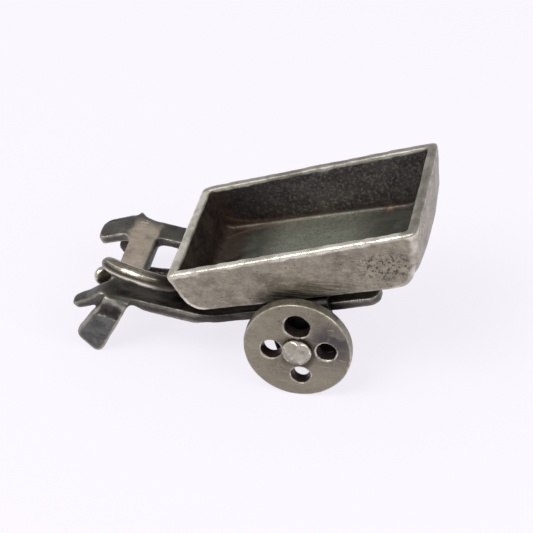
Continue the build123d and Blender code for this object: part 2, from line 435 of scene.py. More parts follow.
def rise(value, span):
    """0 below the start of a span, 1 above its end and a smooth rise between."""
    low, high = span
    share = np.clip((value - low) / (high - low), 0, 1)
    return share * share * (3 - 2 * share)


def fall(value, span):
    """1 below the start of a span, 0 above its end and a smooth fall between."""
    return 1 - rise(value, span)


def between(value, window):
    """1 in the middle of a window, 0 outside it, with a smooth rise and fall at its ends."""
    return rise(value, window[:2]) * fall(value, window[2:])


def patch(first, second, middle, size, edge, wander=0.0):
    """Share of an oval patch, whose edge may wander."""
    reach = np.hypot((first - middle[0]) / size[0], (second - middle[1]) / size[1])
    return fall(reach + wander, edge)


def bell(value, width):
    """1 at 0, with a smooth fall on both sides to about a third at the width."""
    return np.exp(-(value / width) ** 2)


def waviness(points, size, seed):
    """Smooth noise from about -1 to 1 at each point, with bumps of about that size."""
    shift = Vector((seed * 7.31, seed * 3.17, seed * 5.93))
    return np.array([noise.noise(Vector(point) / size + shift) for point in points])


def add_object(name, data):
    thing = bpy.data.objects.new(name, data)
    scene.collection.objects.link(thing)
    return thing


# Fine meshes over the CAD nodes


def fine_mesh(name, nodes, face_size, work=Matrix()):
    """One closed mesh over some CAD nodes, with even small faces, in millimetres of a work frame."""
    builder = bmesh.new()
    for node in nodes:
        builder.from_mesh(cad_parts[node].data)
    to_work = work.inverted() @ Matrix.Scale(1 / MILLIMETRE, 4)
    bmesh.ops.transform(builder, matrix=to_work, verts=builder.verts)
    bmesh.ops.remove_doubles(builder, verts=builder.verts, dist=same_place)
    rough = bpy.data.meshes.new(name + "_rough")
    builder.to_mesh(rough)
    builder.free()
    carrier = add_object(name + "_carrier", rough)
    remesh = carrier.modifiers.new("fine faces", "REMESH")
    remesh.mode = "VOXEL"
    remesh.voxel_size = face_size
    fine = bpy.data.meshes.new_from_object(carrier.evaluated_get(bpy.context.evaluated_depsgraph_get()))
    fine.name = name
    bpy.data.objects.remove(carrier)
    bpy.data.meshes.remove(rough)
    return fine


def read_numbers(items, name, width, kind):
    """A row of so many numbers for each of a mesh's vertices or edges."""
    flat = np.empty(len(items) * width, kind)
    items.foreach_get(name, flat)
    return flat.reshape(-1, width)


def read_points(mesh):
    return read_numbers(mesh.vertices, "co", 3, np.float32).astype(float)


def read_normals(mesh):
    return read_numbers(mesh.vertex_normals, "vector", 3, np.float32).astype(float)


def read_edges(mesh):
    return read_numbers(mesh.edges, "vertices", 2, np.int32)


def write_points(mesh, points):
    mesh.vertices.foreach_set("co", points.astype(np.float32).ravel())
    mesh.update()


def neighbour_mean(points, edges):
    """The mean of each vertex's neighbours."""
    count = len(points)
    degree = np.bincount(edges.ravel(), minlength=count)
    total = np.empty_like(points)
    for axis in range(points.shape[1]):
        column = points[:, axis]
        total[:, axis] = np.bincount(edges[:, 0], column[edges[:, 1]], count)
        total[:, axis] += np.bincount(edges[:, 1], column[edges[:, 0]], count)
    return total / np.maximum(degree, 1)[:, None]


def smoothed(points, edges, rounds, weight=1.0):
    """Points drawn halfway towards their neighbours so many times, which rounds every edge."""
    pull = 0.5 * np.broadcast_to(weight, len(points))[:, None]
    for _ in range(rounds):
        points = points + pull * (neighbour_mean(points, edges) - points)
    return points


def lumpy(mesh, points, lumps, seed):
    """Points pushed in and out along the surface by coarse and fine noise, and set in the mesh."""
    write_points(mesh, points)
    coarse, fine = lumps
    height = coarse[0] * waviness(points, coarse[1], seed) + fine[0] * waviness(points, fine[1], seed + 1)
    points = points + read_normals(mesh) * height[:, None]
    write_points(mesh, points)
    return points


def store(mesh, **marks):
    """Keeps one number of each mark for each vertex, for a material to read."""
    for name, values in marks.items():
        layer = mesh.attributes.new(name, "FLOAT", "POINT")
        layer.data.foreach_set("value", values.astype(np.float32))


def finish_piece(mesh, body, nodes, material, work=Matrix()):
    """Measures edges and hollows, sets the mesh in metres and puts the piece in place of its CAD nodes."""
    edges = read_edges(mesh)
    points = smoothed(read_points(mesh), edges, even_rounds)
    bend = ((points - smoothed(points, edges, bend_rounds)) * read_normals(mesh)).sum(axis=1)
    bend = smoothed(bend[:, None], edges, spread_rounds)[:, 0] / full_bend
    store(mesh, edge=np.clip(bend, 0, 1), hollow=np.clip(-bend, 0, 1))
    mesh.transform(Matrix.Scale(MILLIMETRE, 4) @ work)
    mesh.shade_smooth()
    mesh.materials.clear()
    mesh.materials.append(material)
    piece = add_object(mesh.name, mesh)
    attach(piece, body)
    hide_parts(*nodes)


# Materials


class Shader:
    """Short ways to add and join the nodes of one material, and the colour painted so far."""

    def __init__(self, name):
        self.material = bpy.data.materials.new(name)
        self.material.use_nodes = True
        self.tree = self.material.node_tree
        self.tree.nodes.clear()
        self.surface = self.add("ShaderNodeBsdfPrincipled")
        self.output = self.add("ShaderNodeOutputMaterial", {"Surface": self.surface.outputs["BSDF"]})
        place = self.add("ShaderNodeTexCoord").outputs["Object"]
        scaled = {0: place, "Scale": 1 / MILLIMETRE}
        self.place = self.add("ShaderNodeVectorMath", scaled, operation="SCALE").outputs[0]
        self.colour = None

    def add(self, kind, inputs=None, **settings):
        """A new node with its settings, and each input set to a plain value or joined to another node."""
        node = self.tree.nodes.new(kind)
        for name, value in settings.items():
            setattr(node, name, value)
        self.feed(node, inputs or {})
        return node

    def feed(self, node, inputs):
        for name, value in inputs.items():
            if isinstance(value, bpy.types.NodeSocket):
                self.tree.links.new(value, node.inputs[name])
            else:
                node.inputs[name].default_value = value

    def moved(self, stretch=(1, 1, 1), shift=0.0, turn=0.0):
        """Millimetre coordinates, turned about Y, stretched and shifted."""
        inputs = {"Vector": self.place, "Rotation": (0.0, turn, 0.0), "Scale": stretch}
        inputs["Location"] = (shift, shift * 0.7, shift * 1.3)
        return self.add("ShaderNodeMapping", inputs).outputs["Vector"]

    def noise(self, scale, detail=4.0, roughness=0.55, distortion=0.0, **move):
        """Cloudy noise with so many clouds to the millimetre."""
        look = {"Scale": scale, "Detail": detail, "Roughness": roughness, "Distortion": distortion}
        return self.add("ShaderNodeTexNoise", {"Vector": self.moved(**move), **look}).outputs["Fac"]

    def math(self, operation, first, second):
        return self.add("ShaderNodeMath", {0: first, 1: second}, operation=operation).outputs[0]

    def times(self, first, second):
        return self.math("MULTIPLY", first, second)

    def flipped(self, mask):
        return self.math("SUBTRACT", 1.0, mask)

    def read(self, name, most=1.0):
        """The number that each vertex keeps under a name, times a most."""
        return self.times(self.add("ShaderNodeAttribute", attribute_name=name).outputs["Fac"], most)

    def span(self, value, low, high, start=0.0, end=1.0):
        """A value's place between low and high, smoothly, as a number from start to end."""
        limits = {"From Min": low, "From Max": high, "To Min": start, "To Max": end}
        node = self.add("ShaderNodeMapRange", {"Value": value, **limits}, interpolation_type="SMOOTHSTEP")
        return node.outputs["Result"]

    def blend(self, share, first, second):
        """The first colour at share 0, the second at share 1."""
        inputs = {"Factor": share, 6: as_light(first), 7: as_light(second)}
        return self.add("ShaderNodeMix", inputs, data_type="RGBA").outputs[2]

    def paint(self, share, colour):
        """Lays a colour over what is painted so far."""
        self.colour = self.blend(share, self.colour, colour)


def patina(shader, tones, cloud_size=1.8):
    """Mottled metal of three tones, and the fine grain that it shares with the roughness and the bump."""
    dark, middle, light = tones
    cloud = shader.noise(1 / cloud_size, detail=6.0, roughness=0.6)
    grain = shader.noise(7.0, detail=5.0, shift=11.0, roughness=0.65)
    tone = shader.math("ADD", shader.times(cloud, 0.65), shader.times(grain, 0.35))
    colour = shader.blend(shader.span(tone, 0.36, 0.5), dark, middle)
    return shader.blend(shader.span(tone, 0.5, 0.66), colour, light), grain


def brush_marks(shader):
    """Fine streaks along the plate, left by a file."""
    along_plate = {"stretch": (0.06, 1.0, 1.0), "turn": plate_pitch}
    return shader.noise(1 / brush_mark_width, detail=3.0, shift=41.0, **along_plate)


def scratches(shader, turn, shift):
    """A mask of sparse hair-thin scratches, in one direction across the sides."""
    line = shader.noise(11.0, detail=1.0, stretch=(0.05, 0.6, 1.0), turn=turn, shift=shift)
    spread = shader.noise(0.9, detail=2.0, shift=shift + 3.0)
    return shader.times(shader.span(line, 0.64, 0.7), shader.span(spread, 0.45, 0.6))


def pits(shader, pit_colour, share):
    """Small dark pits in that share of many cells; gives their bump."""
    spread = {"Vector": shader.moved(shift=5.0), "Scale": 1 / pit_spacing}
    cells = shader.add("ShaderNodeTexVoronoi", spread).outputs
    chance = shader.add("ShaderNodeSeparateColor", {"Color": cells["Color"]}).outputs["Red"]
    ragged = shader.math("ADD", cells["Distance"], shader.times(shader.noise(9.0, shift=7.0), 0.35))
    depth = shader.span(ragged, 0.24, 0.42, start=1.0, end=0.0)
    mask = shader.times(depth, shader.span(chance, 1 - share, 1 - share * 0.7))
    shader.paint(shader.times(mask, 0.8), pit_colour)
    return shader.flipped(mask), pit_depth


def worn_edges(shader, edge_colour, low, high, most=1.0, where=1.0):
    """Bright metal on rubbed edges, in stretches broken by nicks, where a mask allows; gives its mask."""
    long_wear = shader.span(shader.noise(0.7, detail=3.0, shift=53.0), 0.36, 0.6, start=0.35)
    nick = shader.span(shader.noise(3.2, detail=3.0, shift=57.0), 0.3, 0.42, start=0.5)
    rubbed = shader.span(shader.read("edge"), low, high, end=most)
    mask = shader.times(shader.times(rubbed, shader.times(long_wear, nick)), where)
    shader.paint(mask, edge_colour)
    return mask


def grime(shader, grime_colour, most=0.8):
    """Dark tarnish left in hollows and inside corners."""
    ragged = shader.span(shader.noise(1.6, detail=5.0, shift=67.0), 0.3, 0.7, start=0.5)
    hollow = shader.span(shader.read("hollow"), 0.1, 0.7, end=most)
    shader.paint(shader.times(hollow, ragged), grime_colour)


def finish_surface(shader, grain, roughness, shine_mask, bumps):
    """Joins the colour, the roughness and the bumps, each a height with its depth in millimetres."""
    rough = shader.span(grain, 0.3, 0.7, start=roughness + 0.07, end=roughness - 0.05)
    rough = shader.math("SUBTRACT", rough, shader.times(shine_mask, rubbed_shine))
    surface = {"Base Color": shader.colour, "Roughness": rough, "Metallic": silver_metallic}
    under = {}
    for height, depth in bumps:
        bump = shader.add("ShaderNodeBump", {"Height": height, "Distance": depth * MILLIMETRE, **under})
        under = {"Normal": bump.outputs["Normal"]}
    shader.feed(shader.surface, surface | under)
    return shader.material


def tray_outside(shader):
    """Warm grey with file streaks, darkened above the wheel as a painted reflection of it, pits, corrosion
    and fine scratches; gives its grain and bumps.
    """
    shader.colour, grain = patina(shader, tray_tones, cloud_size=2.6)
    blotch = shader.noise(1.5, detail=5.0, shift=19.0, roughness=0.7)
    shader.paint(shader.span(blotch, 0.5, 0.66, end=0.6), pale_blotch)
    shader.paint(shader.span(blotch, 0.34, 0.48, start=0.4, end=0.0), dark_blotch)
    streak = brush_marks(shader)
    # Painted dark reflection of the wheel, in file streaks, on the near side above it
    filed_and_reflected = shader.times(shader.span(streak, 0.4, 0.58, end=0.85), shader.read("low_side"))
    shader.paint(filed_and_reflected, file_streak_and_reflection)
    fine_lines = shader.math("MAXIMUM", scratches(shader, 0.5, 71.0), scratches(shader, -0.9, 75.0))
    shader.paint(shader.times(fine_lines, 0.5), tray_scratch)
    pit_bump = pits(shader, tray_pit, 0.3)
    worm = shader.noise(3.1, detail=6.0, shift=18.0, roughness=0.7, distortion=0.25)
    corroded = shader.times(shader.span(worm, 0.53, 0.58), shader.read("pit_patch"))
    shader.paint(shader.times(corroded, 0.85), corrosion)
    grime(shader, tray_grime)
    return grain, [(grain, 0.012), (streak, 0.01), pit_bump, (shader.flipped(corroded), pit_depth)]


def tray_inside(shader, speck):
    """Charcoal walls with grey specks, a green-grey floor, brown towards the back and along the seams."""
    smear = shader.noise(0.8, detail=5.0, stretch=(0.7, 1.0, 1.0), shift=91.0, distortion=0.8)
    wall = shader.blend(shader.span(smear, 0.4, 0.62), *wall_tones)
    wall = shader.blend(shader.span(speck, 0.5, 0.62, end=0.75), wall, wall_speck)
    wall = shader.blend(shader.span(speck, 0.32, 0.44, start=0.6, end=0.0), wall, wall_pit)
    wall = shader.blend(shader.read("shade"), wall, wall_shade)
    floor = shader.blend(shader.read("pale_floor"), *floor_tones)
    floor = shader.blend(shader.span(smear, 0.42, 0.62, end=0.35), floor, floor_smear)
    floor = shader.blend(shader.span(speck, 0.46, 0.62, end=0.55), floor, floor_speck)
    colour = shader.blend(shader.read("floor"), wall, floor)
    brown = shader.blend(shader.span(smear, 0.36, 0.6), *back_browns)
    colour = shader.blend(shader.read("back", 0.85), colour, brown)
    solder = shader.times(shader.read("solder"), shader.span(speck, 0.36, 0.56, start=0.3))
    colour = shader.blend(shader.times(solder, 0.75), colour, spread_solder)
    # Darker in the upright inside corners
    colour = shader.blend(shader.read("corner", 0.85), colour, corner_soot)
    seam_colour = shader.blend(shader.span(speck, 0.5, 0.62), *seam_tones)
    broken = shader.span(shader.noise(1.1, shift=29.0), 0.4, 0.6, start=0.5, end=0.9)
    return shader.blend(shader.times(shader.read("seam"), broken), colour, seam_colour)


def tray_material():
    """The outside, the inside and the rim, with rubbed edges."""
    shader = Shader("tray silver")
    speck = shader.noise(4.2, detail=6.0, shift=83.0, roughness=0.75)
    grain, bumps = tray_outside(shader)
    shader.paint(shader.read("inside"), tray_inside(shader, speck))
    rim_colour, _ = patina(shader, rim_tones, cloud_size=1.6)
    # The far rim and the nose rim are darker, with fewer rubbed edges
    shader.paint(shader.read("rim"), shader.blend(shader.read("dull_rim"), rim_colour, dull_rim))
    undarkened = shader.span(shader.read("dull_rim"), 0.0, 1.0, start=1.0, end=0.4)
    edge_mask = worn_edges(shader, rubbed_rim, 0.3, 0.85, most=0.85, where=undarkened)
    polish = shader.math("SUBTRACT", edge_mask, shader.read("inside"))
    return finish_surface(shader, grain, 0.36, polish, bumps + [(speck, 0.012)])


def sheet_material():
    """Dark tarnish on shafts and legs, a lighter rubbed crossbar, brown in the folds, and painted shade
    under the ring, under the tray, on the far leg and over the bracket.
    """
    shader = Shader("sheet silver")
    shader.colour, grain = patina(shader, sheet_tones)
    bar, _ = patina(shader, bar_tones, cloud_size=1.2)
    shader.paint(shader.read("bar"), bar)
    smear = shader.noise(1.3, detail=5.0, shift=23.0, distortion=0.5)
    shader.paint(shader.read("leg"), shader.blend(shader.span(smear, 0.36, 0.66), *leg_tones))
    shader.paint(shader.read("fold"), shader.blend(shader.span(smear, 0.4, 0.6), *fold_browns))
    speckle = shader.span(shader.noise(3.6, shift=47.0), 0.46, 0.6)
    shader.paint(shader.times(shader.read("fold_line"), speckle), fold_speckle)
    along_plate = {"stretch": (0.4, 1.0, 1.0), "turn": plate_pitch}
    streaky = shader.noise(1.5, detail=6.0, shift=27.0, roughness=0.65, **along_plate)
    # Painted shade in dark streaky tones under the ring, under the tray, on the far leg and on the bracket
    shader.paint(shader.read("dull", 0.85), shader.blend(shader.span(streaky, 0.38, 0.66), *soot_tones))
    crust = shader.span(shader.noise(3.4, shift=43.0), 0.42, 0.58, end=0.9)
    shader.paint(shader.times(shader.read("solder"), crust), solder_crust)
    pit_bump = pits(shader, sheet_pit, 0.14)
    grime(shader, sheet_grime, most=0.7)
    undarkened = shader.span(shader.read("dull"), 0.0, 0.9, start=1.0, end=0.0)
    worn_edges(shader, rubbed_leg, 0.2, 0.7, most=0.85, where=shader.times(shader.read("leg"), undarkened))
    edge_mask = worn_edges(shader, rubbed_sheet, 0.3, 0.9, most=0.8, where=undarkened)
    # Painted shade: the bracket under the tray is painted near black
    shader.paint(shader.read("soot", 0.85), bracket_soot)
    bumps = [(grain, 0.014), (brush_marks(shader), 0.012), pit_bump]
    return finish_surface(shader, grain, 0.38, edge_mask, bumps)


def wheel_material():
    """Warm grey faces with a blue-grey stain beside the hub, a brown stain and painted shade round the hub,
    greenish rim, pale chipped hole edges.
    """
    shader = Shader("wheel silver")
    shader.colour, grain = patina(shader, wheel_tones, cloud_size=2.2)
    smear = shader.noise(1.1, detail=5.0, shift=37.0, distortion=0.8)
    shader.paint(shader.times(shader.read("stain"), shader.span(smear, 0.3, 0.6, start=0.5)), wheel_stain)
    # Brown stain and painted shade round the hub
    shader.paint(shader.read("hub_stain", 0.8), hub_stain)
    fine_lines = shader.math("MAXIMUM", scratches(shader, 0.2, 61.0), scratches(shader, 1.3, 65.0))
    shader.paint(shader.times(fine_lines, 0.4), wheel_scratch)
    pit_bump = pits(shader, wheel_pit, 0.14)
    tread, _ = patina(shader, tread_tones, cloud_size=0.9)
    shader.paint(shader.read("rim"), tread)
    shader.paint(shader.read("bore"), hole_tarnish)
    chipped = shader.span(shader.noise(1.7, shift=49.0), 0.47, 0.6, end=0.9)
    shader.paint(shader.times(shader.read("lip"), chipped), chipped_lip)
    edge_mask = worn_edges(shader, rubbed_wheel, 0.35, 0.9, most=0.9)
    return finish_surface(shader, grain, 0.38, edge_mask, [(grain, 0.012), (smear, 0.03), pit_bump])


def axle_material():
    """Bright hammered heads, darker where the hammer left hollows, on a dull wire."""
    shader = Shader("axle silver")
    shader.colour, grain = patina(shader, axle_tones, cloud_size=0.8)
    pit_bump = pits(shader, axle_pit, 0.2)
    grime(shader, axle_grime)
    head = shader.span(shader.read("shaft"), 0.0, 1.0, start=1.0, end=0.0)
    edge_mask = worn_edges(shader, rubbed_head, 0.25, 0.7, where=head)
    shader.paint(shader.read("shaft", 0.8), dull_shaft)
    return finish_surface(shader, grain, 0.26, edge_mask, [(grain, 0.008), pit_bump])


def ring_material():
    """Wire rubbed bright in long streaks that also paint highlights, duller between, with painted shade
    underneath, on the far strand, on the low end's cut face and under the tray.
    """
    shader = Shader("ring silver")
    shader.colour, grain = patina(shader, ring_tones, cloud_size=1.0)
    streak = shader.read("streak")
    # Pale streaks along the wire: rubbing and painted highlight
    shader.paint(shader.span(streak, 0.1, 0.45, end=0.85), rubbed_streak_and_highlight)
    shader.paint(shader.span(streak, -0.5, -0.1, start=0.85, end=0.0), dark_streak)
    edge_mask = worn_edges(shader, rubbed_streak_and_highlight, 0.4, 1.0)
    # Painted shade underneath, on the far strand, on the cut face and under the tray
    shader.paint(shader.read("sooty"), ring_shade_colour)
    return finish_surface(shader, grain, 0.26, edge_mask, [(grain, 0.008)])


# Tray: the strip and both side plates, soldered into one body


def tray_rim(x):
    """Height of the tray's rim over the plate."""
    share = (x - tray_back_x) / (tray_nose_x - tray_back_x)
    return tray_back_rim + share * (tray_nose_rim - tray_back_rim)


def wall_places(n):
    """Where the outer faces of the side, nose and back walls lie at a height over the plate."""
    return [place - lean * (1 - (n - tray_bottom) / (rim - tray_bottom)) for place, lean, rim in tray_walls]


def rounded_corner(first, second, radius):
    """Two distances in from the corner of a square of that radius, bent to a round corner."""
    first_over = radius - first
    second_over = radius - second
    inside = (first_over > 0) & (second_over > 0)
    reach = np.maximum(first_over, second_over) / np.maximum(np.hypot(first_over, second_over), 1e-9)
    first = np.where(inside, radius - first_over * reach, first)
    second = np.where(inside, radius - second_over * reach, second)
    return first, second


def inner_distances(x, y, n):
    """Distances of points from the tray's far, near, back and nose inner faces and from its floor."""
    half, nose_line, back_line = wall_places(n)
    inner_half = half - tray_side_thickness
    back = x - back_line - tray_end_thickness
    nose = nose_line - tray_end_thickness - x
    floor = n - tray_bottom - tray_floor_thickness
    return np.column_stack((inner_half - y, inner_half + y, back, nose, floor))


def round_tray(x, y, n):
    """Plate coordinates with the tray's outer corners, rims and bottom edges rounded."""
    half, nose_line, back_line = wall_places(n)
    nose_radius = np.interp(n, (tray_bottom, tray_nose_rim), (nose_corner_radius, nose_rim_corner_radius))
    back_radius = np.where(y > 0, far_back_corner_radius, near_back_corner_radius)
    nose, side = rounded_corner(nose_line - x, half - np.abs(y), nose_radius)
    back, side = rounded_corner(nose_line - nose - back_line, side, back_radius)
    bottom, side = rounded_corner(n - tray_bottom, side, bottom_edge_radius)
    x = back_line + back
    rim = tray_rim(x)
    top, side = rounded_corner(rim - tray_bottom - bottom, side, rim_edge_radius)
    top, nose = rounded_corner(top, nose_line - x, rim_edge_radius)
    top, back = rounded_corner(top, nose_line - nose - back_line, rim_edge_radius)
    return back_line + back, np.sign(y) * (half - side), rim - top


def skew_ends(x, y, n):
    """Plate lengths with the back rim askew and the nose leaning and bowed, as bent by hand."""
    height = np.clip((n - tray_bottom) / (tray_rim(x) - tray_bottom), 0, 1)
    near_share = 0.5 - y / tray_width
    back_move = (back_rim_shift + back_rim_skew * near_share) * height * rise(-x, back_skew_behind)
    nose_move = (nose_foot_shift + nose_rim_shift * height ** 2) * rise(x, nose_shift_x)
    bow = nose_bow * (1 - (2 * y / tray_width) ** 2) * (1 - height ** 2) * rise(x, nose_bow_x)
    return x - back_move + nose_move + bow


def thicken_walls(x, y, n, distances):
    """Lengths and widths with the inner faces of the walls moved inwards, most at the rim."""
    inward = between(distances[:, :4], wall_swell_reach)
    far, near, back, nose = (inward * wall_swells * rise(n, wall_swell_n)[:, None]).T
    return x + back - nose, y + near - far


def floor_seam(distances, inside, reach, wander=0.0):
    """Share of the seam round the tray's floor, which fades towards the back wall."""
    second_nearest = np.sort(distances, axis=1)[:, 1]
    along = fall(distances[:, 4], seam_above_floor) * rise(distances[:, 2], seam_before_back)
    return fall(second_nearest + wander, reach) * inside * along


def solder_line(height, along, line):
    """A thin line at a height over a seam, lifted towards the start of the seam."""
    start, lift, reach = line
    return bell(height - start - lift * np.exp(-along / reach), solder_line_width)


def solder_lines(distances):
    """Thin lines of spread solder beside the seams, which fan out towards the tray's far back corner."""
    far, _, back, _, floor = distances.T
    over_far = solder_line(floor, back, far_solder) * bell(far, solder_line_depth)
    over_floor = solder_line(far, back, floor_solder) * bell(floor, solder_line_depth)
    over_back = solder_line(far, floor, back_solder) * bell(back, solder_line_depth)
    over_back *= np.exp(-floor / back_solder_height)
    return np.clip(over_far + over_floor + over_back, 0, 1) * fall(back, solder_before_back)


def brown_back(distances, ragged):
    """Share of the brown tarnish on the back wall, the floor before it and the far seam."""
    on_far = fall(distances[:, 0], far_wall_reach)
    low_wall = fall(distances[:, 4], brown_foot_above_floor)
    foot = brown_foot * low_wall * (1 - brown_foot_less_on_far * on_far)
    reach = brown_reach + brown_wander * ragged + foot
    along_seam = on_far * fall(distances[:, 4] + seam_brown_wander * ragged, seam_brown_above_floor)
    return np.maximum(fall(distances[:, 2] - reach, brown_fade), seam_brown * along_seam)


def mark_tray(mesh, points, distances, inside, blob):
    """Keeps where the tray is brown, shaded, soldered, pitted, streaked with a painted reflection of the
    wheel, or rubbed.
    """
    x, y, n = points.T
    far, _, back, _, floor = distances.T
    ragged = waviness(points, 0.8, seed=21)
    near_side = rise(-y, near_side_y) * (1 - inside)
    second_nearest = np.sort(distances, axis=1)[:, 1]
    rim = rise(n - tray_rim(x), rim_depth)
    store(
        mesh,
        inside=inside,
        shade=far_wall_shade * fall(far, far_wall_reach) * fall(back, shade_before_back),
        corner=fall(second_nearest, corner_reach) * rise(floor, seam_above_floor) * inside,
        seam=floor_seam(distances, inside, seam_line_reach, seam_line_wander * ragged),
        floor=fall(floor, floor_reach),
        pale_floor=between(x, pale_floor_x),
        back=brown_back(distances, ragged),
        solder=np.clip(solder_lines(distances) + blob, 0, 1),
        rim=rim,
        dull_rim=rim * np.maximum(rise(x, dull_rim_x), rise(y, dull_rim_y)),
        pit_patch=near_side * patch(x, n, *pit_patch),
        # Painted reflection of the wheel above it, in file streaks
        low_side=near_side * patch(x, n, *reflection_streak_patch),
    )


def build_tray():
    nodes = ("tray_floor", "tray_side_near", "tray_side_far")
    mesh = fine_mesh("tray", nodes, tray_face, plate_matrix)
    edges = read_edges(mesh)
    x, y, n = round_tray(*read_points(mesh).T)
    distances = inner_distances(x, y, n)
    to_middle = tray_middle - read_points(mesh)
    facing = (read_normals(mesh) * to_middle).sum(axis=1)
    inside = rise(distances.min(axis=1), inside_depth) * rise(facing, inside_facing)
    x, y = thicken_walls(x, y, n, distances)
    points = smoothed(np.column_stack((skew_ends(x, y, n), y, n)), edges, tray_rounds)
    points = smoothed(points, edges, seam_rounds, floor_seam(distances, inside, seam_fillet_reach))
    for corner in far_rim_corners:
        from_corner = np.linalg.norm(points - corner, axis=1)
        points = smoothed(points, edges, rim_corner_rounds, bell(from_corner, rubbed_corner_size))
    points = lumpy(mesh, points, tray_lumps, seed=1)
    blob = bell(np.linalg.norm(points - solder_blob, axis=1), solder_blob_size)
    points[:, 1] -= solder_blob_height * blob
    write_points(mesh, points)
    mark_tray(mesh, points, distances, inside, blob)
    finish_piece(mesh, "cart", nodes, tray_material(), plate_matrix)


# Chassis sheet: shafts and handles, crossbar, folded legs


def down_leg(x, y, n):
    """Distance down the lean of the leg on that side, from the fold at the front of the crossbar."""
    lean = np.radians(np.where(y < 0, near_leg_lean, far_leg_lean))
    return (fold_x - x) * np.sin(lean) + (fold_n - n) * np.cos(lean)


def far_leg(y, down):
    """Share of the far leg below its fold."""
    return rise(y, far_leg_y) * rise(down, far_leg_down)


def bend_chassis(x, y, n, down):
    """Plate coordinates with handles, shafts and legs bent by hand, and a groove across each leg's fold."""
    handle = np.clip((-x - handle_start) / (handle_end - handle_start), 0, 1)
    under_shaft = (bend_x - x) * math.sin(rise_angle) - n * math.cos(rise_angle)
    depth = under_shaft / sheet_thickness
    above_leg = fall(depth, leg_depth)
    lower = np.clip(depth, 0, 1) * above_leg
    n = n + np.where(y > 0, far_handle_lift * handle, -near_handle_drop * lower * np.sqrt(handle))
    near_shaft = between(-x, near_shaft_behind) * rise(-y, near_shaft_y)
    n = n - near_shaft_depth * lower * near_shaft
    handle_width = np.where(y > 0, far_handle_width, near_handle_width)
    across = 2 * (half_chassis - np.abs(y)) / handle_width - 1
    bulge = handle_tip_bulge * np.clip(1 - across ** 2, 0, 1)
    x = x - handle * above_leg * (bulge + np.where(y > 0, 0, near_handle_reach))
    peak = np.exp(-np.abs(x - far_peak_x) / np.where(x < far_peak_x, *far_peak_sizes))
    near_top = fall(down, far_peak_down)
    overhang = np.clip(y - half_chassis, 0, None)
    y = y - overhang * (1 - peak) * near_top
    y = y + far_peak_reach * peak * rise(y, far_peak_y) * near_top
    x = x + far_leg_shift * far_leg(y, down)
    groove = bell(down - groove_down, groove_width) * rise(np.abs(y), groove_y)
    y = y - np.sign(y) * groove_depth * groove
    return x, y, n


def mark_chassis(mesh, ragged, x, y, n, down, front_corner):
    """Keeps where the chassis is rubbed, brown or soldered, and where shade is painted under the ring,
    under the tray and on the far leg.
    """
    along_bar = between(-x - ragged, bar_behind)
    across_bar = fall(np.abs(y - bar_middle_y) + ragged, bar_reach)
    leg = rise(np.abs(y), leg_y) * rise(down, leg_down)
    fold = between(down + ragged, brown_fold_down) * leg
    # Painted shade under the ring and under the tray
    under_ring = fall(y, ring_shade_y) * between(-x, ring_shade_behind)
    under_ring *= 1 - unshaded_near_edge * rise(-y, unshaded_near_edge_y)
    under_tray = tray_shade * rise(x, tray_shade_x) * (1 - nose_light * rise(x, nose_light_x))
    dull = np.maximum(under_ring, under_tray) * (1 - leg)
    solder = patch(x, y, *solder_patch, wander=solder_patch_wander * ragged)
    store(
        mesh,
        bar=along_bar * across_bar * fall(read_normals(mesh)[:, 0], bar_front_facing),
        leg=leg,
        fold=np.maximum(fold, brown_corner * front_corner),
        fold_line=bell(down + ragged - fold_line_down, fold_line_width) * leg,
        dull=np.maximum(dull, far_leg_shade * far_leg(y, down)),
        solder=solder * (n > solder_patch_lowest),
    )


def build_chassis(material):
    mesh = fine_mesh("chassis_sheet", ("chassis",), chassis_face, plate_matrix)
    edges = read_edges(mesh)
    points = read_points(mesh)
    x, y, n = points.T
    front_corner, back_corner = (
        bell(np.hypot(x - corner_x, n - corner_n), size) * rise(-y, leg_corner_y)
        for corner_x, corner_n, size in leg_corners
    )
    points = smoothed(points, edges, leg_corner_rounds, np.maximum(front_corner, back_corner))
    points = smoothed(points, edges, handle_tip_rounds, rise(-x, handle_tip_behind))
    points = smoothed(points, edges, chassis_rounds)
    down = down_leg(*points.T)
    bent = bend_chassis(*points.T, down)
    points = smoothed(np.column_stack(bent), edges, bent_chassis_rounds)
    points = lumpy(mesh, points, chassis_lumps, seed=3)
    ragged = chassis_wander * waviness(points, 0.7, seed=31)
    mark_chassis(mesh, ragged, *bent, down, front_corner)
    finish_piece(mesh, "cart", ("chassis",), material, plate_matrix)


# Wheels, axle, bracket and ring


def change_holes(points, ahead, above):
    """Moves and widens a wheel's holes, as if drilled by hand; gives a mask of their rough lips."""
    lip = np.zeros(len(points))
    inward = np.clip((wheel_outside - np.abs(points[:, 1])) / wheel_thickness, 0, 1)
    for angle, shift_x, shift_z, widen in hole_changes:
        from_x = ahead - hole_circle_radius * math.cos(math.radians(angle))
        from_z = above - hole_circle_radius * math.sin(math.radians(angle))
        reach = np.hypot(from_x, from_z)
        share = fall(reach, hole_reach)
        wider = (widen - hole_taper * inward) / np.maximum(reach, 0.1)
        points[:, 0] += share * (shift_x + wider * from_x)
        points[:, 2] += share * (shift_z + wider * from_z)
        lip = np.maximum(lip, between(reach, hole_lip))
    return lip


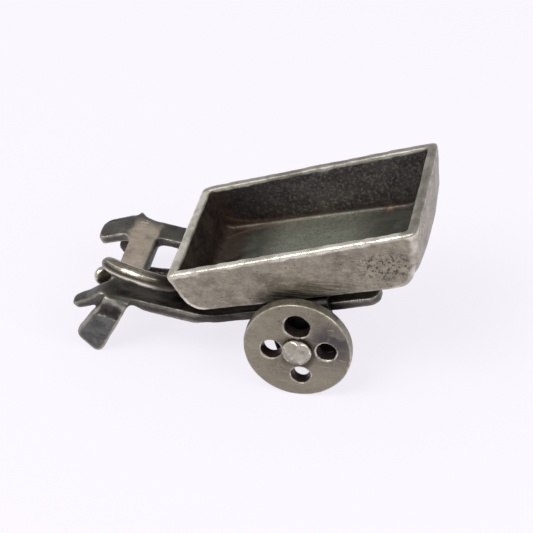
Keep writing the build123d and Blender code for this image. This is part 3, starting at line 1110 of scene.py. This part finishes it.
def build_wheel(node, side, seed, material):
    """A disc wheel with uneven holes that sits slightly askew on the axle; side is -1 for the near one."""
    mesh = fine_mesh(node + "_disc", (node,), small_face)
    points = smoothed(read_points(mesh), read_edges(mesh), wheel_rounds)
    ahead = points[:, 0] - axle_place[0]
    above = points[:, 2] - axle_place[2]
    radius = np.hypot(ahead, above)
    lip = change_holes(points, ahead, above)
    uneven = hole_unevenness * between(radius, uneven_radius)
    points[:, 0] += uneven * waviness(points * (1, 0, 1), 0.5, seed)
    points[:, 2] += uneven * waviness(points * (1, 0, 1), 0.5, seed + 2)
    lean = wheel_lean if side < 0 else far_wheel_lean
    points[:, 1] -= side * above * math.tan(math.radians(lean))
    points = lumpy(mesh, points, wheel_lumps, seed + 4)
    wall = fall(np.abs(read_normals(mesh)[:, 1]), wheel_edge_facing)
    outer = rise(radius, tread_radius)
    # Brown stain and painted shade round the hub
    hub_stain_reach = radius + hub_stain_wander * waviness(points, 0.9, seed + 6)
    store(mesh, rim=wall * outer, bore=wall * (1 - outer), lip=lip)
    store(mesh, hub_stain=fall(hub_stain_reach, hub_stain_radius), stain=patch(ahead, above, *wheel_patch))
    finish_piece(mesh, node, (node,), material)


def build_axle():
    """The axle with its two heads hammered to facets."""
    mesh = fine_mesh("axle_wire", ("axle",), small_face)
    edges = read_edges(mesh)
    points = smoothed(read_points(mesh), edges, axle_rounds)
    shaft = fall(np.abs(points[:, 1]) - head_start_y, shaft_end_from_head)
    points = smoothed(points, edges, shaft_rounds, shaft)
    for side in (-1, 1):
        head = side * points[:, 1] > head_start_y
        local = points[head] - axle_place
        for facet_x, facet_z, depth in head_facets:
            facet = np.array((facet_x, side, facet_z)) / math.sqrt(1 + facet_x ** 2 + facet_z ** 2)
            height = local @ facet
            over = np.clip(height - height.max() + depth, 0, None)
            local = local - over[:, None] * facet
        points[head] = local + axle_place
    points = smoothed(points, edges, facet_rounds)
    points = lumpy(mesh, points, axle_lumps, seed=7)
    store(mesh, shaft=shaft)
    finish_piece(mesh, "cart", ("axle",), axle_material())


def build_bracket(material):
    mesh = fine_mesh("bracket_strip", ("axle_bracket",), chassis_face, plate_matrix)
    points = smoothed(read_points(mesh), read_edges(mesh), bracket_rounds)
    points = lumpy(mesh, points, bracket_lumps, seed=5)
    # The bracket lies wholly in painted shade
    store(mesh, dull=np.ones(len(points)), soot=np.ones(len(points)))
    finish_piece(mesh, "cart", ("axle_bracket",), material, plate_matrix)


def ring_turns(offset):
    """Each point's angle round the ring, its reach and height, and its direction along the wire."""
    start = np.cross(ring_normal, (0.0, 0.0, 1.0))
    start = start / np.linalg.norm(start)
    turned = np.cross(ring_normal, start)
    reach = np.hypot(offset @ start, offset @ turned)
    angle = np.arctan2(offset @ turned, offset @ start)
    tangent = np.outer(np.cos(angle), turned) - np.outer(np.sin(angle), start)
    return angle, reach, offset @ ring_normal, tangent


def ring_ends(angle, height):
    """Shares of both ends of the wire, of the lower end and of the stretch that leads to it."""
    order = np.sort(angle)
    gaps = np.diff(np.append(order, order[0] + math.tau))
    cut_width = gaps.max()
    cut_angle = order[gaps.argmax()] + cut_width / 2
    turn_from_cut = (angle - cut_angle + math.pi) % math.tau - math.pi
    from_cut = np.abs(turn_from_cut) - cut_width / 2
    wire_end = fall(from_cut, ring_end_angle)
    low_side = turn_from_cut * (turn_from_cut * height * wire_end).sum() > 0
    return wire_end, wire_end * low_side, fall(from_cut, low_end_angle) * low_side


def bend_ring(mesh, points, low_stretch):
    """Points with the low end thicker and the near strand bent and thicker."""
    write_points(mesh, points)
    thicker = low_end_move + low_end_swell * read_normals(mesh)
    points = points + thicker * low_stretch[:, None]
    near_strand = fall(points[:, 1], ring_near_y)
    points[:, 2] -= ring_sag * near_strand * rise(points[:, 0], ring_sag_x)
    upper = near_strand * (1 - low_stretch)
    points[:, 2] += ring_lift * upper * rise(-points[:, 0], ring_lift_behind)
    write_points(mesh, points)
    return points + ring_swell * upper[:, None] * read_normals(mesh)


def ring_streaks(angle, reach, height):
    """Noise in long streaks along the wire."""
    along = np.column_stack((np.cos(angle), np.sin(angle), np.zeros(len(angle)))) * streak_spread
    along[:, 2] = streak_tightness * reach
    along[:, 0] += streak_tightness * height
    return waviness(along, 1.0, seed=15) + 0.5 * waviness(along * 2.3, 1.0, seed=16)


def build_ring():
    """The jump ring, with long streaks of rubbing and painted highlight along its wire, and painted shade.
    """
    mesh = fine_mesh("ring_wire", ("jump_ring",), small_face)
    edges = read_edges(mesh)
    points = read_points(mesh)
    angle, reach, height, tangent = ring_turns(points - ring_centre)
    wire_end, low_end, low_stretch = ring_ends(angle, height)
    points = smoothed(points, edges, ring_rounds)
    points = smoothed(points, edges, ring_end_rounds, wire_end)
    points = bend_ring(mesh, points, low_stretch)
    points = lumpy(mesh, points, ring_lumps, seed=13)
    normals = read_normals(mesh)
    low_end_x = np.average(points[:, 0], weights=low_end)
    # Painted shade on the low end's cut face, the underside, the end tucked under the tray and the far
    # strand
    cut_face = rise(np.abs((normals * tangent).sum(axis=1)), cut_facing) * low_end
    cut_face *= rise(points[:, 0] - low_end_x, cut_face_x)
    underside = underside_soot * rise(-normals[:, 2], underside_facing)
    tucked = rise(points[:, 0], ring_tucked_x)
    far_strand = rise(points[:, 1], ring_far_y)
    sooty = ring_soot * np.maximum.reduce((cut_face, underside, tucked, far_strand))
    store(mesh, streak=ring_streaks(angle, reach, height) * (1 - wire_end), sooty=sooty)
    finish_piece(mesh, "jump_ring", ("jump_ring",), ring_material())


# Stage: a pale floor with a faint shadow, a pale world and soft lights


def build_floor():
    mesh = bpy.data.meshes.new("floor")
    builder = bmesh.new()
    radius = floor_radius * MILLIMETRE
    bmesh.ops.create_circle(builder, cap_ends=True, segments=floor_sides, radius=radius)
    builder.to_mesh(mesh)
    builder.free()
    floor = add_object("floor", mesh)
    shader = Shader("floor")
    pale = as_light(background)
    plain = {"Base Color": pale, "Roughness": floor_roughness, "Specular IOR Level": 0.0}
    shader.feed(shader.surface, plain)
    mesh.materials.append(shader.material)
    glow = shader.add("ShaderNodeEmission", {"Color": pale}).outputs["Emission"]
    path = shader.add("ShaderNodeLightPath").outputs
    seen = shader.math("MAXIMUM", path["Is Camera Ray"], path["Is Glossy Ray"])
    seen = shader.math("MAXIMUM", seen, path["Is Transmission Ray"])
    mixed = {"Fac": shader.times(seen, floor_glow), 1: shader.surface.outputs["BSDF"], 2: glow}
    mix = shader.add("ShaderNodeMixShader", mixed)
    shader.feed(shader.output, {"Surface": mix.outputs["Shader"]})


def build_world():
    world = bpy.data.worlds.new("studio")
    scene.world = world
    world.use_nodes = True
    sky = world.node_tree.nodes["Background"]
    sky.inputs["Color"].default_value = as_light(sky_colour)
    sky.inputs["Strength"].default_value = sky_strength


def add_light(name, place, size, power):
    """A square soft light, in millimetres, aimed at the middle of the cart."""
    data = bpy.data.lights.new(name, "AREA")
    data.shape = "SQUARE"
    data.size = size * MILLIMETRE
    data.energy = power
    light = add_object(name, data)
    light.location = Vector(place) * MILLIMETRE
    light.rotation_euler = (Vector(light_aim) - Vector(place)).to_track_quat("-Z", "Y").to_euler()


def build_camera():
    data = bpy.data.cameras.new("camera")
    data.lens = camera_lens
    data.sensor_width = camera_sensor
    data.clip_start = camera_nearest * MILLIMETRE
    camera = add_object("camera", data)
    camera.location = Vector(camera_place) * MILLIMETRE
    camera.rotation_euler = [math.radians(angle) for angle in camera_turn]
    scene.camera = camera


sheet_silver = sheet_material()
wheel_silver = wheel_material()
build_tray()
build_chassis(sheet_silver)
build_bracket(sheet_silver)
build_axle()
build_wheel("wheel_near", -1, 9, wheel_silver)
build_wheel("wheel_far", 1, 17, wheel_silver)
build_ring()

build_floor()
build_world()
build_camera()
for light in lights:
    add_light(*light)
